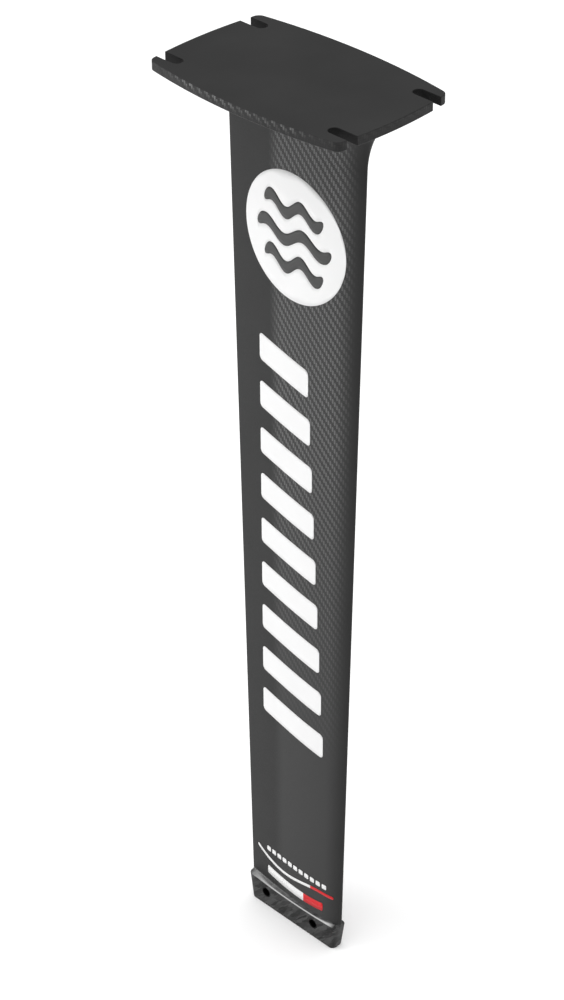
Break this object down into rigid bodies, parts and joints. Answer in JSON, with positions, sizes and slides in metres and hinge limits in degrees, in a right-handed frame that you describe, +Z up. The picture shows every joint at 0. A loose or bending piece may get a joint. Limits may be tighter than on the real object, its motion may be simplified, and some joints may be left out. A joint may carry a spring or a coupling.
{
  "type": "hydrofoil mast",
  "caption": "Hydrofoil mast: a tapered foil-section carbon strut with a slotted top plate for a twin-track board and a plug-in foot with cross holes.",
  "frame": {"origin": "centre of the plate's top face, where the board sits", "axes": "+Z up out of the plate into the board, so the mast hangs along -Z; +X to the nose (leading edge); +Y to port"},
  "size_m": [0.208, 0.134, 0.8465],
  "materials": {
    "plate_laminate": "matt carbon laminate, top and bottom skins of the plate",
    "core_laminate": "pressed carbon and glass laminate block",
    "root_laminate": "dense laminate block",
    "twill_skin": "2x2 twill carbon cloth under a satin clear coat",
    "spar_carbon": "unidirectional carbon",
    "web_laminate": "bias laminate",
    "tow_carbon": "carbon tow in epoxy",
    "foam": "closed cell foam",
    "foot_carbon": "moulded chopped-tow carbon, satin",
    "black_anodised": "black anodised",
    "film_white": "white printed film, satin",
    "film_dark": "dark printed film, satin",
    "film_red": "red printed film, satin"
  },
  "bodies": {
    "root": {"plate_top_skin": "plate_laminate", "plate_core": "core_laminate", "plate_bottom_skin": "plate_laminate", "root_block": "root_laminate", "starboard_root_flare": "twill_skin", "port_root_flare": "twill_skin", "starboard_skin": "twill_skin", "port_skin": "twill_skin", "starboard_spar_cap": "spar_carbon", "port_spar_cap": "spar_carbon", "front_shear_web": "web_laminate", "rear_shear_web": "web_laminate", "nose_tow": "tow_carbon", "nose_core": "foam", "centre_core": "foam", "tail_core": "foam", "tail_tow": "tow_carbon", "foot_block": "foot_carbon", "front_sleeve": "black_anodised", "rear_sleeve": "black_anodised", "starboard_badge_disc": "film_white", "starboard_badge_waves": "film_dark", "starboard_slant_bars": "film_white", "starboard_dash_row": "film_white", "starboard_trim_white": "film_white", "starboard_trim_red": "film_red", "starboard_low_white": "film_white", "starboard_low_red": "film_red", "port_badge_disc": "film_white", "port_badge_waves": "film_dark", "port_slant_bars": "film_white", "port_dash_row": "film_white", "port_trim_white": "film_white", "port_trim_red": "film_red", "port_low_white": "film_white", "port_low_red": "film_red"}
  },
  "joints": []
}
